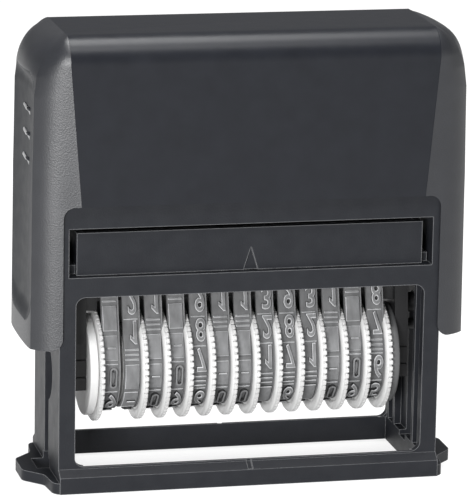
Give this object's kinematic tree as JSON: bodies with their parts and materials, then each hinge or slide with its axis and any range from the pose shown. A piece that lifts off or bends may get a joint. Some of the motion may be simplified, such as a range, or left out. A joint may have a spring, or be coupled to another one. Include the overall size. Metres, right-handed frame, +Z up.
{
  "type": "self-inking numbering machine",
  "caption": "Self-inking hand numbering machine: sprung cap, slotted frame with ink cartridge, and a flip-over carrier with rubber number bands and toothed setting wheels.",
  "frame": {"origin": "middle of the base underside, on the paper", "axes": "+X to the right across the bands, +Y to the back, +Z up towards the cap"},
  "size_m": [0.072, 0.0248, 0.0742],
  "materials": {
    "frame_black": "satin, fine grain",
    "cap_black": "satin centre, grained cheeks",
    "carrier_black": "satin",
    "felt": "felt soaked with black ink",
    "wheel_white": "moulded, satin gloss",
    "band_rubber": "matt grey rubber",
    "axle_steel": "ground",
    "spring_steel": "drawn wire"
  },
  "bodies": {
    "frame": {"frame": "frame_black", "return_spring_left": "spring_steel", "return_spring_right": "spring_steel"},
    "cap": {"cap": "cap_black"},
    "carrier": {"side_plate_left": "carrier_black", "side_plate_right": "carrier_black", "type_bridge": "carrier_black", "wheel_axle": "axle_steel", "end_disc_left": "wheel_white", "end_disc_right": "wheel_white", "band_01": "band_rubber", "band_02": "band_rubber", "band_03": "band_rubber", "band_04": "band_rubber", "band_05": "band_rubber", "band_06": "band_rubber", "band_07": "band_rubber", "band_08": "band_rubber", "band_09": "band_rubber", "band_10": "band_rubber", "band_11": "band_rubber", "band_12": "band_rubber", "band_13": "band_rubber"},
    "pad": {"pad_tray": "frame_black", "ink_pad": "felt"},
    "wheel_01": {"wheel_01": "wheel_white"},
    "wheel_02": {"wheel_02": "wheel_white"},
    "wheel_03": {"wheel_03": "wheel_white"},
    "wheel_04": {"wheel_04": "wheel_white"},
    "wheel_05": {"wheel_05": "wheel_white"},
    "wheel_06": {"wheel_06": "wheel_white"},
    "wheel_07": {"wheel_07": "wheel_white"},
    "wheel_08": {"wheel_08": "wheel_white"},
    "wheel_09": {"wheel_09": "wheel_white"},
    "wheel_10": {"wheel_10": "wheel_white"},
    "wheel_11": {"wheel_11": "wheel_white"},
    "wheel_12": {"wheel_12": "wheel_white"},
    "wheel_13": {"wheel_13": "wheel_white"}
  },
  "joints": [
    {"name": "cap_press", "type": "slide", "parent": "frame", "child": "cap", "axis": [0, 0, -1], "range_m": [0, 0.0177], "stiffness_N_per_m": 600, "springref_m": -0.01, "deforming": ["return_spring_left", "return_spring_right"]},
    {"name": "carrier_flip", "type": "hinge", "parent": "cap", "child": "carrier", "pos_m": [0, 0, 0.0265], "axis": [-1, 0, 0], "range_deg": [0, 180]},
    {"name": "pad_slide", "type": "slide", "parent": "frame", "child": "pad", "axis": [0, 1, 0], "range_m": [-0.022, 0]},
    {"name": "wheel_01_turn", "type": "hinge", "parent": "carrier", "child": "wheel_01", "pos_m": [0, 0, 0.01824], "axis": [1, 0, 0], "continuous": true},
    {"name": "wheel_02_turn", "type": "hinge", "parent": "carrier", "child": "wheel_02", "pos_m": [0, 0, 0.01824], "axis": [1, 0, 0], "continuous": true},
    {"name": "wheel_03_turn", "type": "hinge", "parent": "carrier", "child": "wheel_03", "pos_m": [0, 0, 0.01824], "axis": [1, 0, 0], "continuous": true},
    {"name": "wheel_04_turn", "type": "hinge", "parent": "carrier", "child": "wheel_04", "pos_m": [0, 0, 0.01824], "axis": [1, 0, 0], "continuous": true},
    {"name": "wheel_05_turn", "type": "hinge", "parent": "carrier", "child": "wheel_05", "pos_m": [0, 0, 0.01824], "axis": [1, 0, 0], "continuous": true},
    {"name": "wheel_06_turn", "type": "hinge", "parent": "carrier", "child": "wheel_06", "pos_m": [0, 0, 0.01824], "axis": [1, 0, 0], "continuous": true},
    {"name": "wheel_07_turn", "type": "hinge", "parent": "carrier", "child": "wheel_07", "pos_m": [0, 0, 0.01824], "axis": [1, 0, 0], "continuous": true},
    {"name": "wheel_08_turn", "type": "hinge", "parent": "carrier", "child": "wheel_08", "pos_m": [0, 0, 0.01824], "axis": [1, 0, 0], "continuous": true},
    {"name": "wheel_09_turn", "type": "hinge", "parent": "carrier", "child": "wheel_09", "pos_m": [0, 0, 0.01824], "axis": [1, 0, 0], "continuous": true},
    {"name": "wheel_10_turn", "type": "hinge", "parent": "carrier", "child": "wheel_10", "pos_m": [0, 0, 0.01824], "axis": [1, 0, 0], "continuous": true},
    {"name": "wheel_11_turn", "type": "hinge", "parent": "carrier", "child": "wheel_11", "pos_m": [0, 0, 0.01824], "axis": [1, 0, 0], "continuous": true},
    {"name": "wheel_12_turn", "type": "hinge", "parent": "carrier", "child": "wheel_12", "pos_m": [0, 0, 0.01824], "axis": [1, 0, 0], "continuous": true},
    {"name": "wheel_13_turn", "type": "hinge", "parent": "carrier", "child": "wheel_13", "pos_m": [0, 0, 0.01824], "axis": [1, 0, 0], "continuous": true}
  ],
  "couplings": [
    {"joint": "carrier_flip", "follows": "cap_press", "rad_per_m": 177.49}
  ]
}
